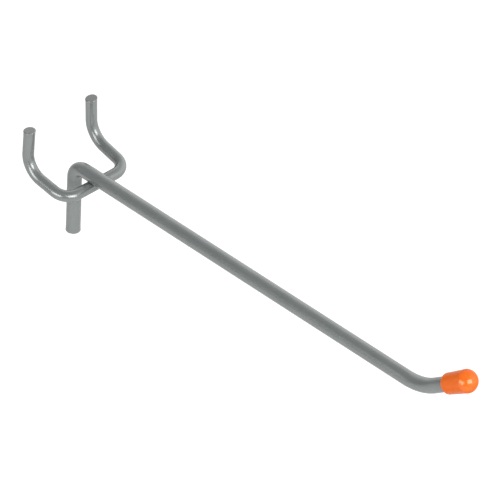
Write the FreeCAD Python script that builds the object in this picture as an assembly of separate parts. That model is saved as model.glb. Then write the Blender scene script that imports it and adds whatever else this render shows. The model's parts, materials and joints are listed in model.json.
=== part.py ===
import FreeCAD, Part
import math
import os

from FreeCAD import Vector

# A two-prong wire hook for perforated board, with a soft cap on its tip.
# X runs along the board, Y goes back through it and Z is up. The origin lies on the board's
# front face, midway between the two peg holes. Lengths are in millimetres, angles in degrees,
# and bend radii are measured to the wire's axis.

# Board that the hook hangs on
hole_pitch = 25.4           # peg holes, centre to centre
board_thickness = 3.2
board_play = 0.9            # room between the board's back face and the prongs

# Arm wire: leg, hanging arm and raised tip
arm_wire_d = 4.4
leg_length = 24.2           # arm axis down to the leg's lower end
back_bend_r = 4.6
arm_length = 139.5          # leg axis forward to the corner of the tip
arm_rise = 2.0              # slope of the arm, up towards the front
tip_bend_r = 18.0
tip_turn = 36.2             # how far the tip turns up from the arm
tip_length = 20.0           # corner of the tip to the wire's end

# Prong bracket: crossbar, two runs through the board, two prongs behind it
bracket_wire_d = 3.5
crossbar_reach = 10.1       # board's front face forward to the crossbar's axis
crossbar_bend_r = 4.8
run_rise = 9.0              # slope of the runs, up towards the back
run_splay = 2.2             # how far each run turns outwards, towards the back
prong_bend_r = 6.8
prong_height = 13.8         # corner of the run up to the prong's top
prong_toe_in = 2.5          # lean of each prong towards the other one

# Weld where the arm crosses the crossbar
weld_setdown = 0.5          # depth that the two wires are pressed into each other
weld_offset = 1.3           # bracket's middle sideways to the arm

# Bevelled rim of each sheared wire end
end_bevel = 0.25

# Soft cap over the arm's tip
cap_length = 10.85
cap_end_wall = 2.65         # wire's end to the top of the crown
cap_mouth_wall = 0.8
cap_nose_wall = 1.12
cap_crown = 2.75            # height of the domed end above its shoulder
cap_shoulder_r = 0.3
cap_lip_r = 0.3
cap_fit = 0.03              # radial clearance between the wire and the bore

arm_r = arm_wire_d / 2
bracket_r = bracket_wire_d / 2


def toward_front(rise):
    angle = math.radians(rise)
    return Vector(0, -math.cos(angle), math.sin(angle))


def round_edges(solid, centre, radius):
    """Circular edges of a solid with this centre and radius."""
    near = 1e-4
    found = []
    for edge in solid.Edges:
        # a pole of a domed face is an edge with no curve
        if edge.Degenerated or not isinstance(edge.Curve, Part.Circle):
            continue
        if edge.Curve.Center.distanceToPoint(centre) < near and abs(edge.Curve.Radius - radius) < near:
            found.append(edge)
    return found


def bent_path(corners, bend_radii):
    """Straight runs between the corners, joined by tangent arcs of the given radii."""
    edges = []
    run_start = corners[0]
    for before, corner, after, radius in zip(corners, corners[1:], corners[2:], bend_radii):
        way_in = (corner - before).normalize()
        way_out = (after - corner).normalize()
        half_turn = way_in.getAngle(way_out) / 2
        setback = radius * math.tan(half_turn)
        inside = (way_out - way_in).normalize()
        arc_start = corner - way_in * setback
        arc_middle = corner + inside * (radius / math.cos(half_turn) - radius)
        arc_end = corner + way_out * setback
        edges.append(Part.LineSegment(run_start, arc_start).toShape())
        edges.append(Part.Arc(arc_start, arc_middle, arc_end).toShape())
        run_start = arc_end
    edges.append(Part.LineSegment(run_start, corners[-1]).toShape())
    return Part.Wire(edges)


def bent_wire(corners, bend_radii, wire_r):
    """Round wire along the bent path, with bevelled rims at its two sheared ends."""
    section = Part.Wire(Part.makeCircle(wire_r, corners[0], corners[1] - corners[0]))
    wire = bent_path(corners, bend_radii).makePipeShell([section], True)
    rims = round_edges(wire, corners[0], wire_r) + round_edges(wire, corners[-1], wire_r)
    return wire.makeChamfer(end_bevel, rims)


# Bracket's axis lines: the runs cross the board's front face level with the hole centres
run_slope = math.tan(math.radians(run_rise))
crossbar_y = -crossbar_reach
crossbar_z = crossbar_y * run_slope
prong_y = board_thickness + board_play + bracket_r
prong_z = prong_y * run_slope
prong_x = hole_pitch / 2
corner_x = prong_x - (prong_y - crossbar_y) * math.tan(math.radians(run_splay))
prong_top_x = prong_x - prong_height * math.tan(math.radians(prong_toe_in))

# Arm's axis lines: the leg lies against the board and the arm sits on the crossbar
arm_x = -weld_offset
leg_y = -arm_r
arm_way = toward_front(arm_rise)
tip_way = toward_front(arm_rise + tip_turn)
weld_height = (arm_r + bracket_r - weld_setdown) / math.cos(math.radians(arm_rise))
arm_z = crossbar_z + weld_height - (leg_y - crossbar_y) * math.tan(math.radians(arm_rise))
leg_corner = Vector(arm_x, leg_y, arm_z)
leg_end = leg_corner - Vector(0, 0, leg_length)
tip_corner = leg_corner + arm_way * arm_length
tip_end = tip_corner + tip_way * tip_length


def make_arm_wire():
    return bent_wire([leg_end, leg_corner, tip_corner, tip_end], [back_bend_r, tip_bend_r], arm_r)


def make_prong_bracket(arm_wire):
    left_half = [
        Vector(-prong_top_x, prong_y, prong_z + prong_height),
        Vector(-prong_x, prong_y, prong_z),
        Vector(-corner_x, crossbar_y, crossbar_z),
    ]
    right_half = [Vector(-corner.x, corner.y, corner.z) for corner in reversed(left_half)]
    bends = [prong_bend_r, crossbar_bend_r, crossbar_bend_r, prong_bend_r]
    bracket = bent_wire(left_half + right_half, bends, bracket_r)
    # the arm's wire presses its own seat into the crossbar
    return bracket.cut(arm_wire).Solids[0]


def cap_point(radius, beyond_wire):
    return tip_end + Vector(radius, 0, 0) + tip_way * beyond_wire


def make_end_cap():
    bore_r = arm_r + cap_fit
    mouth_r = bore_r + cap_mouth_wall
    nose_r = bore_r + cap_nose_wall
    mouth = cap_end_wall - cap_length
    shoulder = cap_end_wall - cap_crown
    # the crown is a shallow part of a ball whose rim is the shoulder
    crown_r = (nose_r ** 2 + cap_crown ** 2) / (2 * cap_crown)
    crown_mid_r = nose_r / 2
    crown_mid = cap_end_wall - crown_r + math.sqrt(crown_r ** 2 - crown_mid_r ** 2)
    outline = [
        Part.LineSegment(cap_point(0, 0), cap_point(bore_r, 0)),
        Part.LineSegment(cap_point(bore_r, 0), cap_point(bore_r, mouth)),
        Part.LineSegment(cap_point(bore_r, mouth), cap_point(mouth_r, mouth)),
        Part.LineSegment(cap_point(mouth_r, mouth), cap_point(nose_r, shoulder)),
        Part.Arc(cap_point(nose_r, shoulder), cap_point(crown_mid_r, crown_mid), cap_point(0, cap_end_wall)),
        Part.LineSegment(cap_point(0, cap_end_wall), cap_point(0, 0)),
    ]
    half_section = Part.Face(Part.Wire([piece.toShape() for piece in outline]))
    cap = half_section.revolve(tip_end, tip_way, 360)
    cap = cap.makeFillet(cap_shoulder_r, round_edges(cap, cap_point(0, shoulder), nose_r))
    return cap.makeFillet(cap_lip_r, round_edges(cap, cap_point(0, mouth), mouth_r))


arm_wire = make_arm_wire()
pieces = {
    "arm_wire": arm_wire,
    "prong_bracket": make_prong_bracket(arm_wire),
    "end_cap": make_end_cap(),
}

os.makedirs("parts", exist_ok=True)
for node, solid in pieces.items():
    solid.exportStep(f"parts/{node}.step")
    print(node, "valid" if solid.isValid() else "not valid", round(solid.Volume, 1), "cubic mm")
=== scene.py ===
import json
import math

import bpy
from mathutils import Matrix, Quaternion, Vector


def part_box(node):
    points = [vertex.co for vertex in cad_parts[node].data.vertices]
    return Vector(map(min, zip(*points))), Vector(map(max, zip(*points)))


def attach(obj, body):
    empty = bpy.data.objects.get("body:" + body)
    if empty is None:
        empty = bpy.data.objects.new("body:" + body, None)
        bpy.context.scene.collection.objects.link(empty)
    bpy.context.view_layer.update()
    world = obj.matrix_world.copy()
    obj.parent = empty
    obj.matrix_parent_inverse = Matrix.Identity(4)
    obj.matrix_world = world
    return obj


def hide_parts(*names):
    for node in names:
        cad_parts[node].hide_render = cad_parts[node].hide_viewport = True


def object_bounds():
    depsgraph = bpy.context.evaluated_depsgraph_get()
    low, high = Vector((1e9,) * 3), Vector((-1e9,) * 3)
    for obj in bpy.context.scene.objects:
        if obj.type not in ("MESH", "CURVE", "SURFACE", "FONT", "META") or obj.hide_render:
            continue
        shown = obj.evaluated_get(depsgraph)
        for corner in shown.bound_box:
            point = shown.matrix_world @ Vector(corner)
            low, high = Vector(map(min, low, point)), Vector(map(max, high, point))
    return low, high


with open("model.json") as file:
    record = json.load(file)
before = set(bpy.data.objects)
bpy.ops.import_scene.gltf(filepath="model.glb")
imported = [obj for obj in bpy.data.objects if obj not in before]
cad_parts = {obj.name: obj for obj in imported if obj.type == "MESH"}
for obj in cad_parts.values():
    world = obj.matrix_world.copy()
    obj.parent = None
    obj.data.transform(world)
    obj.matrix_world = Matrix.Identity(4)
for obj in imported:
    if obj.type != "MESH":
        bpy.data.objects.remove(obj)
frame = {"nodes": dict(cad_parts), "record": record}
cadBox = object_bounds()
mm = 0.001
mounts = {mount["name"]: mount for mount in frame["record"]["mounts"]}
print("frame loaded:", ", ".join(sorted(frame["nodes"])))


# bending and sweeping round wire
wireMesh = {
    "sides": 72,                        # faces round the wire
    "turnStep": math.radians(3),        # between rings in a bend
    "rimSize": 0.22 * mm,               # softened bevel of a sheared end
    "rimShape": 1.6,                    # 1 is a flat bevel, 2 a full round
    "rimRings": 8,
    "rimClear": 1.3,                    # plain rings keep this many rim sizes from an end
    "faceRings": 7,                     # rings across a sheared face
    "flare": 0.08 * mm,                 # the shear spreads the end this much
    "flareLength": 0.6 * mm,
    "slantFade": 2,                     # a slanted cut dies away over this many wire radii
}


def straightRun(start, end, step):
    count = max(1, math.ceil((end - start).length / step))
    way = (end - start).normalized()
    return [(start.lerp(end, i / count), way) for i in range(count)]


def bentRoute(corners, bends, runStep):
    # straight runs joined by tangent arcs, as points with the wire's way at each
    route = []
    runStart = corners[0]
    for before, corner, after, bend in zip(corners, corners[1:], corners[2:], bends):
        wayIn = (corner - before).normalized()
        wayOut = (after - corner).normalized()
        turn = wayIn.angle(wayOut)
        setback = bend * math.tan(turn / 2)
        arcStart = corner - wayIn * setback
        route += straightRun(runStart, arcStart, runStep)
        axis = wayIn.cross(wayOut).normalized()
        middle = arcStart + axis.cross(wayIn) * bend
        steps = math.ceil(turn / wireMesh["turnStep"])
        for i in range(steps):
            spin = Quaternion(axis, turn * i / steps)
            route.append((middle + spin @ (arcStart - middle), spin @ wayIn))
        runStart = corner + wayOut * setback
    lastWay = (corners[-1] - runStart).normalized()
    return route + straightRun(runStart, corners[-1], runStep) + [(corners[-1], lastWay)]


def endRings(point, inward, side, wireRadius, along, alongStep):
    # rings of one sheared end, from the middle of its face out over the rim
    rim = wireMesh["rimSize"]
    radius = wireRadius + wireMesh["flare"]
    power = 2 / wireMesh["rimShape"]
    rings = []
    for i in range(1, wireMesh["faceRings"] + 1):
        rings.append((point, side, (radius - rim) * i / wireMesh["faceRings"], along, 1.0))
    for i in range(1, wireMesh["rimRings"] + 1):
        angle = math.radians(90) * i / wireMesh["rimRings"]
        inset = rim * (1 - math.sin(angle) ** power)
        depth = rim * (1 - max(0.0, math.cos(angle)) ** power)
        rings.append((point + inward * depth, side, radius - inset, along + alongStep * depth, 0.0))
    return rings


def flaredRadius(radius, fromEnd):
    return radius + wireMesh["flare"] * math.exp(-max(0.0, fromEnd) / wireMesh["flareLength"])


def sweptWire(name, route, radius, startSlope=Vector(), endSlope=Vector()):
    # carry a side vector along the route, so that the faces don't twist;
    # a slope is how far the cut rises along the wire, per step across it
    rings = []
    along = 0.0
    length = sum((b[0] - a[0]).length for a, b in zip(route, route[1:]))
    clear = wireMesh["rimSize"] * wireMesh["rimClear"]
    startPoint, startWay = route[0]
    side = startWay.orthogonal().normalized()
    first = endRings(startPoint, startWay, side, radius, 0.0, 1)
    rings += [ring + (startWay,) for ring in first]
    for (lastPoint, lastWay), (point, way) in zip(route, route[1:]):
        side = lastWay.rotation_difference(way) @ side
        along += (point - lastPoint).length
        if clear < along < length - clear:
            flared = flaredRadius(radius, min(along, length - along))
            rings.append((point, side.copy(), flared, along, 0.0, way))
    endPoint, endWay = route[-1]
    last = endRings(endPoint, -endWay, side.copy(), radius, length, -1)
    rings += [ring + (endWay,) for ring in reversed(last)]

    sides = wireMesh["sides"]
    fade = radius * wireMesh["slantFade"]
    verts, runs, cuts = [startPoint], [(0.0, 0.0, 0.0)], [1.0]
    for centre, ringSide, ringRadius, ringAlong, cut, way in rings:
        lift = way.cross(ringSide)
        slope = startSlope if ringAlong < length / 2 else endSlope
        reach = math.exp(-min(ringAlong, length - ringAlong) / fade)
        for k in range(sides):
            c = math.cos(2 * math.pi * k / sides) * ringRadius
            s = math.sin(2 * math.pi * k / sides) * ringRadius
            out = ringSide * c + lift * s
            verts.append(centre + out + way * out.dot(slope) * reach)
            runs.append((c / mm, s / mm, ringAlong / mm))
            cuts.append(cut)
    verts.append(endPoint)
    runs.append((0.0, 0.0, length / mm))
    cuts.append(1.0)

    faces = []
    last = len(verts) - 1
    for k in range(sides):
        n = (k + 1) % sides
        faces.append((0, 1 + n, 1 + k))
        faces.append((last, last - sides + k, last - sides + n))
        for r in range(len(rings) - 1):
            a = 1 + r * sides
            faces.append((a + k, a + n, a + sides + n, a + sides + k))
    return newPiece(name, verts, faces, runs, cuts)


def newPiece(name, verts, faces, runs, cuts):
    mesh = bpy.data.meshes.new(name)
    mesh.from_pydata(verts, [], faces)
    mesh.shade_smooth()
    mesh.attributes.new("wireRun", "FLOAT_VECTOR", "POINT")     # mm across and along the wire
    mesh.attributes.new("cutFace", "FLOAT", "POINT")            # 1 on a sheared face
    flatRuns = [value for run in runs for value in run]
    mesh.attributes["wireRun"].data.foreach_set("vector", flatRuns)
    mesh.attributes["cutFace"].data.foreach_set("value", cuts)
    piece = bpy.data.objects.new(name, mesh)
    bpy.context.scene.collection.objects.link(piece)
    return piece


# arm: leg down the board, long run, raised tip
armWire = {
    "legLength": 24.2 * mm,             # arm's axis down to the leg's end
    "backBend": 4.6 * mm,
    "armLength": 139.5 * mm,            # leg to the tip's corner
    "armRise": math.radians(2.0),
    "tipBend": 18.0 * mm,
    "tipTurn": math.radians(36.2),
    "tipLength": 20.0 * mm,
    "runStep": 1.0 * mm,
}


def towardFront(rise):
    return Vector((0, -math.cos(rise), math.sin(rise)))


armLow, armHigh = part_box("arm_wire")
armRadius = (armHigh.x - armLow.x) / 2
armWay = towardFront(armWire["armRise"])
tipWay = towardFront(armWire["armRise"] + armWire["tipTurn"])
legEnd = Vector(((armHigh.x + armLow.x) / 2, armHigh.y - armRadius, armLow.z))
legCorner = legEnd + Vector((0, 0, armWire["legLength"]))
tipCorner = legCorner + armWay * armWire["armLength"]
tipEnd = tipCorner + tipWay * armWire["tipLength"]


def buildArm():
    bends = [armWire["backBend"], armWire["tipBend"]]
    route = bentRoute([legEnd, legCorner, tipCorner, tipEnd], bends, armWire["runStep"])
    arm = sweptWire("armWireSweep", route, armRadius)
    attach(arm, "root")
    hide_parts("arm_wire")
    return arm


# bracket: crossbar under the arm, runs through the board, prongs behind it
prongBracket = {
    "pitch": 25.4 * mm,                 # between the corners below the prongs
    "runRise": math.radians(9.0),
    "runSplay": math.radians(2.2),      # outwards, towards the back
    "crossbarBend": 4.8 * mm,
    "prongBend": 6.8 * mm,
    "prongHeight": 13.8 * mm,           # corner up to the top
    "toeIn": math.radians(2.5),
    "leftCut": Vector((-0.09, 0.09, 0)),        # slopes of the sheared ends
    "rightCut": Vector((0.125, -0.125, 0)),
    "runStep": 0.25 * mm,               # fine, so that the weld's seat is crisp
}

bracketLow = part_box("prong_bracket")[0]
bracketRadius = mounts["prong_left"]["dims"]["r_mm"] * mm
crossbarY = bracketLow.y + bracketRadius
crossbarZ = crossbarY * math.tan(prongBracket["runRise"])
weldFoot = Vector((legEnd.x, crossbarY, crossbarZ))     # crossbar's axis under the arm


def pressSeat(piece, axisPoint, axisWay, radius):
    # what would lie inside the other wire is pushed out to its surface
    for vertex in piece.data.vertices:
        foot = axisPoint + axisWay * (vertex.co - axisPoint).dot(axisWay)
        out = vertex.co - foot
        if out.length < radius:
            vertex.co = foot + out.normalized() * radius


def buildBracket():
    prongX = prongBracket["pitch"] / 2
    prongY = mounts["prong_left"]["pos_m"][1]
    prongZ = prongY * math.tan(prongBracket["runRise"])
    cornerX = prongX - (prongY - crossbarY) * math.tan(prongBracket["runSplay"])
    topX = prongX - prongBracket["prongHeight"] * math.tan(prongBracket["toeIn"])
    leftHalf = [
        Vector((-topX, prongY, prongZ + prongBracket["prongHeight"])),
        Vector((-prongX, prongY, prongZ)),
        Vector((-cornerX, crossbarY, crossbarZ)),
    ]
    rightHalf = [Vector((-corner.x, corner.y, corner.z)) for corner in reversed(leftHalf)]
    leftBends = [prongBracket["prongBend"], prongBracket["crossbarBend"]]
    bends = leftBends + leftBends[::-1]
    route = bentRoute(leftHalf + rightHalf, bends, prongBracket["runStep"])
    bracket = sweptWire("prongBracketSweep", route, bracketRadius,
                        prongBracket["leftCut"], prongBracket["rightCut"])
    pressSeat(bracket, legCorner, armWay, armRadius)
    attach(bracket, "root")
    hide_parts("prong_bracket")
    return bracket


# weld: a thin meniscus of metal round the seat where the wires cross
weldBead = {
    "reach": 0.48 * mm,                 # how far it creeps up each wire
    "ripple": 0.28,                     # unevenness of that reach
    "waves": ((3, 0.7, 0.6), (7, 0.0, 0.4)),    # times round, start and share of each
    "sink": 0.02 * mm,                  # its edges lie this deep in the wires
    "root": 0.25 * mm,                  # its buried back
    "rings": 96,
    "steps": 9,
    "halvings": 40,                     # when searching for the seat's edge
}


def seatRadius(angle, gap):
    # plan radius where the two wires' surfaces meet, by halving
    near, far = 0.0, bracketRadius
    for i in range(weldBead["halvings"]):
        middle = (near + far) / 2
        across, lengthwise = middle * math.cos(angle), middle * math.sin(angle)
        crossbarTop = math.sqrt(max(0.0, bracketRadius ** 2 - lengthwise ** 2))
        armUnder = gap - math.sqrt(max(0.0, armRadius ** 2 - across ** 2))
        near, far = (middle, far) if crossbarTop > armUnder else (near, middle)
    return near


def buildWeld():
    acrossWay = Vector((1, 0, 0))
    upWay = acrossWay.cross(-armWay).normalized()
    if upWay.z < 0:
        upWay = -upWay
    gap = (legCorner - weldFoot).dot(upWay)             # between the two axes
    verts = []
    for i in range(weldBead["rings"]):
        angle = 2 * math.pi * i / weldBead["rings"]
        seat = seatRadius(angle, gap)
        across, lengthwise = seat * math.cos(angle), seat * math.sin(angle)
        rise = math.sqrt(bracketRadius ** 2 - lengthwise ** 2)
        meet = weldFoot + acrossWay * across + armWay * lengthwise + upWay * rise
        armOut = (acrossWay * across + upWay * (rise - gap)).normalized()
        barOut = (armWay * lengthwise + upWay * rise).normalized()
        armAlong = (barOut - armOut * barOut.dot(armOut)).normalized()
        barAlong = (armOut - barOut * armOut.dot(barOut)).normalized()
        waves = weldBead["waves"]
        ripple = sum(math.sin(times * angle + start) * share for times, start, share in waves)
        reach = weldBead["reach"] * (1 + weldBead["ripple"] * ripple)
        armSink = weldBead["sink"] + reach ** 2 / 2 / armRadius
        barSink = weldBead["sink"] + reach ** 2 / 2 / bracketRadius
        onArm = meet + armAlong * reach - armOut * armSink
        onBar = meet + barAlong * reach - barOut * barSink
        for k in range(weldBead["steps"] + 1):
            t = k / weldBead["steps"]
            verts.append(onArm.lerp(meet, t).lerp(meet.lerp(onBar, t), t))
        verts.append(meet - (armOut + barOut).normalized() * weldBead["root"])
    runs = [tuple((v - weldFoot) / mm) for v in verts]
    ring = weldBead["steps"] + 2
    faces = []
    for i in range(weldBead["rings"]):
        a = i * ring
        b = (i + 1) % weldBead["rings"] * ring
        for k in range(ring):
            n = (k + 1) % ring
            faces.append((a + k, a + n, b + n, b + k))
    weld = newPiece("weldBead", verts, faces, runs, [0.0] * len(verts))
    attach(weld, "root")
    return weld


# soft cap pushed over the tip
endCap = {
    "length": 10.85 * mm,
    "endWall": 2.65 * mm,               # wire's end to the crown's top
    "mouthWall": 0.8 * mm,
    "noseWall": 1.12 * mm,
    "crown": 2.75 * mm,                 # height of the domed end
    "shoulder": 0.3 * mm,               # radius between the side and the crown
    "lip": 0.3 * mm,
    "fit": 0.03 * mm,
    "sides": 96,
    "arcStep": math.radians(6),
    "sideStep": 0.5 * mm,
}


def arcPoints(centre, start, end):
    # round stretch of a profile from one point to another, both ends included
    first = math.atan2(start.y - centre.y, start.x - centre.x)
    turn = math.atan2(end.y - centre.y, end.x - centre.x) - first
    steps = max(2, math.ceil(abs(turn) / endCap["arcStep"]))
    size = (start - centre).length
    angles = [first + turn * i / steps for i in range(steps + 1)]
    return [centre + Vector((math.cos(a), math.sin(a))) * size for a in angles]


def linePoints(start, end):
    count = max(1, math.ceil((end - start).length / endCap["sideStep"]))
    return [start.lerp(end, i / count) for i in range(1, count)]


def capProfile():
    # half section, as radius and height beyond the wire's end, from the bore's floor
    # out over the mouth and up to the crown
    bore = armRadius + endCap["fit"]
    mouth = endCap["endWall"] - endCap["length"]
    mouthOut = Vector((bore + endCap["mouthWall"], mouth))
    nose = Vector((bore + endCap["noseWall"], endCap["endWall"] - endCap["crown"]))
    crownRadius = (nose.x ** 2 + endCap["crown"] ** 2) / 2 / endCap["crown"]
    crownMiddle = Vector((0, endCap["endWall"] - crownRadius))
    # the shoulder's arc touches the side and the crown
    sideWay = (nose - mouthOut).normalized()
    sideIn = Vector((-sideWay.y, sideWay.x))
    reach = nose + sideIn * endCap["shoulder"] - crownMiddle
    along = reach.dot(sideWay)
    inner = crownRadius - endCap["shoulder"]
    setback = along - math.sqrt(along ** 2 - reach.length_squared + inner ** 2)
    shoulderMiddle = nose + sideIn * endCap["shoulder"] - sideWay * setback
    sideEnd = nose - sideWay * setback
    crownStart = crownMiddle + (shoulderMiddle - crownMiddle).normalized() * crownRadius
    lip = endCap["lip"]
    lipMiddle = mouthOut + sideIn * lip + sideWay * lip
    lipEnd = mouthOut + sideWay * lip
    boreFloor = Vector((bore, 0))
    boreMouth = Vector((bore, mouth))
    lipStart = Vector((lipMiddle.x, mouth))
    return (
        [boreFloor] + linePoints(boreFloor, boreMouth) + [boreMouth]
        + arcPoints(lipMiddle, lipStart, lipEnd)
        + linePoints(lipEnd, sideEnd)
        + arcPoints(shoulderMiddle, sideEnd, crownStart)
        + arcPoints(crownMiddle, crownStart, Vector((0, endCap["endWall"])))[1:-1]
    )


def buildCap():
    profile = capProfile()
    acrossWay = Vector((1, 0, 0))
    upWay = tipWay.cross(acrossWay)
    sides = endCap["sides"]
    verts = [tipEnd.copy()]
    for point in profile:
        for k in range(sides):
            angle = 2 * math.pi * k / sides
            out = acrossWay * math.cos(angle) + upWay * math.sin(angle)
            verts.append(tipEnd + out * point.x + tipWay * point.y)
    verts.append(tipEnd + tipWay * endCap["endWall"])
    last = len(verts) - 1
    faces = []
    for k in range(sides):
        n = (k + 1) % sides
        faces.append((0, 1 + k, 1 + n))
        faces.append((last, last - sides + n, last - sides + k))
        for r in range(len(profile) - 1):
            a = 1 + r * sides
            faces.append((a + n, a + k, a + sides + k, a + sides + n))
    runs = [tuple((v - tipEnd) / mm) for v in verts]
    cap = newPiece("softCap", verts, faces, runs, [0.0] * len(verts))
    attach(cap, "root")
    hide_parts("end_cap")
    return cap


def addNode(tree, kind, inputs, **options):
    made = tree.nodes.new(kind)
    for key, value in options.items():
        setattr(made, key, value)
    for key, value in inputs.items():
        if isinstance(value, bpy.types.NodeSocket):
            tree.links.new(value, made.inputs[key])
        else:
            made.inputs[key].default_value = value
    return made


def newLook(name):
    look = bpy.data.materials.new(name)
    look.use_nodes = True
    look.node_tree.nodes.clear()
    return look, look.node_tree


def noise(tree, place, scale, detail):
    made = addNode(tree, "ShaderNodeTexNoise", {"Vector": place, "Scale": scale, "Detail": detail})
    return made.outputs["Fac"]


def multiplyAdd(tree, value, factor, added):
    made = addNode(tree, "ShaderNodeMath", {
        0: value, 1: factor, 2: added}, operation="MULTIPLY_ADD")
    return made.outputs[0]


def mapRange(tree, value, fromSpan, toSpan, kind):
    made = addNode(tree, "ShaderNodeMapRange", {
        "Value": value, "From Min": fromSpan[0], "From Max": fromSpan[1],
        "To Min": toSpan[0], "To Max": toSpan[1]}, interpolation_type=kind)
    return made.outputs[0]


def toneRamp(tree, share, span, low, high):
    ramp = addNode(tree, "ShaderNodeValToRGB", {"Fac": share})
    for element, position, colour in zip(ramp.color_ramp.elements, span, (low, high)):
        element.position = position
        element.color = colour
    return ramp.outputs["Color"]


# grey lacquer with metal flake on drawn wire; the scales are per mm
wireLook = {
    "dark": (0.232, 0.248, 0.245, 1),
    "light": (0.248, 0.264, 0.260, 1),
    "cut": (0.235, 0.24, 0.238, 1),     # sheared faces
    "toneSpan": (0.3, 0.7),             # part of the noise that goes from dark to light
    "cloudScale": 0.22,
    "cloudDetail": 2.0,
    "streakScale": (1.7, 1.7, 0.045),   # drawn out along the wire
    "streakDetail": 4.0,
    "peelScale": 2.6,
    "peelDetail": 3.0,
    "flake": 0.50,                      # metallic share
    "roughness": 0.22,
    "streakRoughness": 0.05,            # added by the drawing streaks
    "cutRoughness": 0.2,                # added on sheared faces
    "streakHeight": 0.2,                # against the peel's 1
    "bump": 0.012,
    "bumpDepth": 0.03 * mm,
    "edgeTint": (0.7, 0.7, 0.7, 1),     # dulls the rims
    "coat": 0.15,
    "coatRoughness": 0.03,
}


def wireMaterial():
    look, tree = newLook("greyLacquer")
    run = addNode(tree, "ShaderNodeAttribute", {}, attribute_name="wireRun").outputs["Vector"]
    cut = addNode(tree, "ShaderNodeAttribute", {}, attribute_name="cutFace").outputs["Fac"]
    drawn = addNode(tree, "ShaderNodeVectorMath", {
        0: run, 1: wireLook["streakScale"]}, operation="MULTIPLY")
    streak = noise(tree, drawn.outputs[0], 1.0, wireLook["streakDetail"])
    cloud = noise(tree, run, wireLook["cloudScale"], wireLook["cloudDetail"])
    peel = noise(tree, run, wireLook["peelScale"], wireLook["peelDetail"])
    tone = toneRamp(tree, cloud, wireLook["toneSpan"], wireLook["dark"], wireLook["light"])
    colour = addNode(tree, "ShaderNodeMixRGB", {
        "Fac": cut, "Color1": tone, "Color2": wireLook["cut"]})
    rough = multiplyAdd(tree, streak, wireLook["streakRoughness"], wireLook["roughness"])
    cutRough = multiplyAdd(tree, cut, wireLook["cutRoughness"], rough)
    height = multiplyAdd(tree, streak, wireLook["streakHeight"], peel)
    bump = addNode(tree, "ShaderNodeBump", {
        "Strength": wireLook["bump"], "Distance": wireLook["bumpDepth"], "Height": height})
    shader = addNode(tree, "ShaderNodeBsdfPrincipled", {
        "Base Color": colour.outputs[0], "Metallic": wireLook["flake"],
        "Roughness": cutRough, "Specular Tint": wireLook["edgeTint"],
        "Coat Weight": wireLook["coat"], "Coat Roughness": wireLook["coatRoughness"],
        "Normal": bump.outputs[0]})
    addNode(tree, "ShaderNodeOutputMaterial", {"Surface": shader.outputs[0]})
    return look


# painted shade: the weld's meniscus is coloured near black to stand in for the dark crevice where
# the wires cross
weldShadeLook = {
    "colour": (0.006, 0.007, 0.007, 1),
    "roughness": 0.7,
}


def weldShadeMaterial():
    look, tree = newLook("weldPaintedShade")
    shader = addNode(tree, "ShaderNodeBsdfPrincipled", {
        "Base Color": weldShadeLook["colour"], "Roughness": weldShadeLook["roughness"]})
    addNode(tree, "ShaderNodeOutputMaterial", {"Surface": shader.outputs[0]})
    return look


# soft orange vinyl
capLook = {
    "deep": (0.84, 0.142, 0.008, 1),
    "bright": (0.86, 0.154, 0.011, 1),
    "toneSpan": (0.3, 0.7),
    "cloudScale": 0.35,
    "cloudDetail": 3.0,
    "skinScale": 4.0,
    "skinDetail": 2.0,
    "roughness": 0.12,
    "skinRoughness": 0.08,              # added by the moulded skin
    "bump": 0.03,
    "bumpDepth": 0.03 * mm,
    "specular": 0.92,                   # face on
    "rimSpecular": 0.08,                # at a grazing angle
    "rimFade": (0.12, 0.52),            # from the one to the other; 0 is face on, 1 edge on
    "specularTint": (1.0, 0.85, 0.62, 1),       # highlights are peach, not white
    "bleed": 0.12,                      # light carried inside the vinyl
    "bleedRadius": (0.9, 0.35, 0.12),
    "bleedScale": 1.2 * mm,
}


def capMaterial():
    look, tree = newLook("orangeVinyl")
    run = addNode(tree, "ShaderNodeAttribute", {}, attribute_name="wireRun").outputs["Vector"]
    cloud = noise(tree, run, capLook["cloudScale"], capLook["cloudDetail"])
    skin = noise(tree, run, capLook["skinScale"], capLook["skinDetail"])
    tone = toneRamp(tree, cloud, capLook["toneSpan"], capLook["deep"], capLook["bright"])
    rough = multiplyAdd(tree, skin, capLook["skinRoughness"], capLook["roughness"])
    bump = addNode(tree, "ShaderNodeBump", {
        "Strength": capLook["bump"], "Distance": capLook["bumpDepth"], "Height": skin})
    facing = addNode(tree, "ShaderNodeLayerWeight", {"Blend": 0.5})
    gloss = mapRange(tree, facing.outputs["Facing"], capLook["rimFade"],
                     (capLook["specular"], capLook["rimSpecular"]), "SMOOTHSTEP")
    shader = addNode(tree, "ShaderNodeBsdfPrincipled", {
        "Base Color": tone, "Roughness": rough,
        "Specular IOR Level": gloss, "Specular Tint": capLook["specularTint"],
        "Subsurface Weight": capLook["bleed"], "Subsurface Radius": capLook["bleedRadius"],
        "Subsurface Scale": capLook["bleedScale"], "Normal": bump.outputs[0]})
    addNode(tree, "ShaderNodeOutputMaterial", {"Surface": shader.outputs[0]})
    return look


wirePieces = [buildArm(), buildBracket()]
weld = buildWeld()
cap = buildCap()
print("pieces built:", ", ".join(piece.name for piece in wirePieces + [weld, cap]))

lacquer = wireMaterial()
for piece in wirePieces:
    piece.data.materials.append(lacquer)
# the bead gets the near-black painted shade of the crevice
weld.data.materials.append(weldShadeMaterial())
cap.data.materials.append(capMaterial())
print("finishes on")

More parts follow.
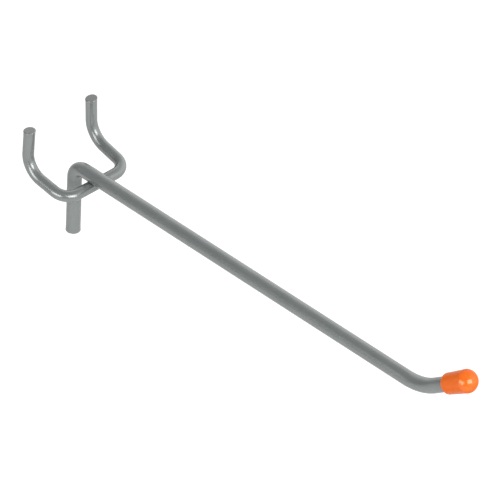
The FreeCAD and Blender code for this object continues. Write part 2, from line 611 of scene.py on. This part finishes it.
# studio: white floor well below, soft boxes, and a shell that the camera doesn't see
studio = {
    "floorDrop": 0.5,                   # below the board's holes
    "floorSize": 14.0,
    "floorColour": (0.45, 0.45, 0.45, 1),
    "floorRoughness": 0.9,
    "floorLift": 0.78,                  # added glow in view, for a white ground
    "floorShine": 0.62,                 # and in reflections
    "shellRadius": 5.0,
    "shellSegments": 48,
    "shellDark": 0.27,                  # glow overhead and on the far side
    "shellPale": 1.45,                  # glow of the low wall on the pale side
    "paleToward": (0.95, -0.10, 0.0),
    "paleFacing": (-0.5, 0.6),          # from dark to pale, by facing that way
    "paleHeight": (0.45, 1.05),         # from pale to dark, by height
}

# azimuth is from the front towards +X, both angles in degrees; sizes in metres
softBoxes = {
    "frontBox": {
        "azimuth": -9, "elevation": 30, "distance": 0.9,
        "width": 0.62, "height": 0.54, "power": 5.9,
    },
    "leftBox": {
        "azimuth": -89, "elevation": 15, "distance": 1.0,
        "width": 0.90, "height": 0.56, "power": 6.6,
    },
}


def placedAt(azimuth, elevation, distance):
    a, e = math.radians(azimuth), math.radians(elevation)
    return Vector((math.sin(a) * math.cos(e), -math.cos(a) * math.cos(e), math.sin(e))) * distance


def buildSoftBox(name, box, centre):
    lamp = bpy.data.lights.new(name, "AREA")
    lamp.shape = "RECTANGLE"
    lamp.size = box["width"]
    lamp.size_y = box["height"]
    lamp.energy = box["power"]
    holder = bpy.data.objects.new(name, lamp)
    bpy.context.scene.collection.objects.link(holder)
    out = placedAt(box["azimuth"], box["elevation"], box["distance"])
    holder.location = centre + out
    holder.rotation_mode = "QUATERNION"
    holder.rotation_quaternion = out.to_track_quat("Z", "Y")
    holder.visible_camera = False


def buildFloor(centre):
    half = studio["floorSize"] / 2
    mesh = bpy.data.meshes.new("studioFloor")
    corners = [(-half, -half, 0), (half, -half, 0), (half, half, 0), (-half, half, 0)]
    mesh.from_pydata(corners, [], [(0, 1, 2, 3)])
    floor = bpy.data.objects.new("studioFloor", mesh)
    floor.location = (centre.x, centre.y, -studio["floorDrop"])
    bpy.context.scene.collection.objects.link(floor)
    look, tree = newLook("paleFloor")
    path = addNode(tree, "ShaderNodeLightPath", {})
    seen = addNode(tree, "ShaderNodeMath", {
        0: path.outputs["Is Camera Ray"], 1: studio["floorLift"]}, operation="MULTIPLY")
    bent = addNode(tree, "ShaderNodeMath", {
        0: path.outputs["Is Glossy Ray"], 1: path.outputs["Is Transmission Ray"]})
    lift = multiplyAdd(tree, bent.outputs[0], studio["floorShine"], seen.outputs[0])
    shader = addNode(tree, "ShaderNodeBsdfPrincipled", {
        "Base Color": studio["floorColour"], "Roughness": studio["floorRoughness"],
        "Specular IOR Level": 0.0, "Emission Color": (1, 1, 1, 1), "Emission Strength": lift})
    addNode(tree, "ShaderNodeOutputMaterial", {"Surface": shader.outputs[0]})
    mesh.materials.append(look)


def buildShell(centre):
    segments = studio["shellSegments"]
    bpy.ops.mesh.primitive_uv_sphere_add(
        segments=segments, ring_count=segments // 2, radius=studio["shellRadius"], location=centre)
    shell = bpy.context.object
    shell.name = "studioShell"
    shell.data.shade_smooth()
    shell.visible_camera = False
    look, tree = newLook("greyShell")
    place = addNode(tree, "ShaderNodeTexCoord", {})
    way = addNode(tree, "ShaderNodeVectorMath", {0: place.outputs["Object"]}, operation="NORMALIZE")
    facing = addNode(tree, "ShaderNodeVectorMath", {
        0: way.outputs[0], 1: studio["paleToward"]}, operation="DOT_PRODUCT")
    height = addNode(tree, "ShaderNodeSeparateXYZ", {0: way.outputs[0]})
    low = mapRange(tree, height.outputs["Z"], studio["paleHeight"], (1.0, 0.0), "SMOOTHSTEP")
    pale = mapRange(tree, facing.outputs["Value"], studio["paleFacing"], (0.0, 1.0), "SMOOTHSTEP")
    share = addNode(tree, "ShaderNodeMath", {0: low, 1: pale}, operation="MULTIPLY")
    glowSpan = (studio["shellDark"], studio["shellPale"])
    level = mapRange(tree, share.outputs[0], (0.0, 1.0), glowSpan, "LINEAR")
    glow = addNode(tree, "ShaderNodeEmission", {"Strength": level})
    addNode(tree, "ShaderNodeOutputMaterial", {"Surface": glow.outputs[0]})
    shell.data.materials.append(look)


# the photograph's view, fitted to the outline
view = {
    "azimuth": -46.711,
    "elevation": 38.566,
    "roll": math.radians(3.690),
    "distance": 1.15981,
    "aim": Vector((24.881, -49.623, -15.304)) * mm,     # on the optical axis
    "lens": 286.743,
    "clip": (0.05, 50),
}


def buildCamera():
    lens = bpy.data.cameras.new("photoCamera")
    lens.lens = view["lens"]
    lens.clip_start, lens.clip_end = view["clip"]
    camera = bpy.data.objects.new("photoCamera", lens)
    bpy.context.scene.collection.objects.link(camera)
    out = placedAt(view["azimuth"], view["elevation"], 1)
    camera.location = view["aim"] + out * view["distance"]
    camera.rotation_mode = "QUATERNION"
    camera.rotation_quaternion = Quaternion(out, view["roll"]) @ out.to_track_quat("Z", "Y")
    bpy.context.scene.camera = camera


centre = (cadBox[0] + cadBox[1]) / 2
for name, box in softBoxes.items():
    buildSoftBox(name, box, centre)
buildFloor(centre)
buildShell(centre)
buildCamera()
world = bpy.data.worlds.new("whiteWorld")
world.use_nodes = True
world.node_tree.nodes["Background"].inputs["Color"].default_value = (1, 1, 1, 1)
bpy.context.scene.world = world
bpy.context.scene.view_settings.view_transform = "Standard"
print("studio ready")
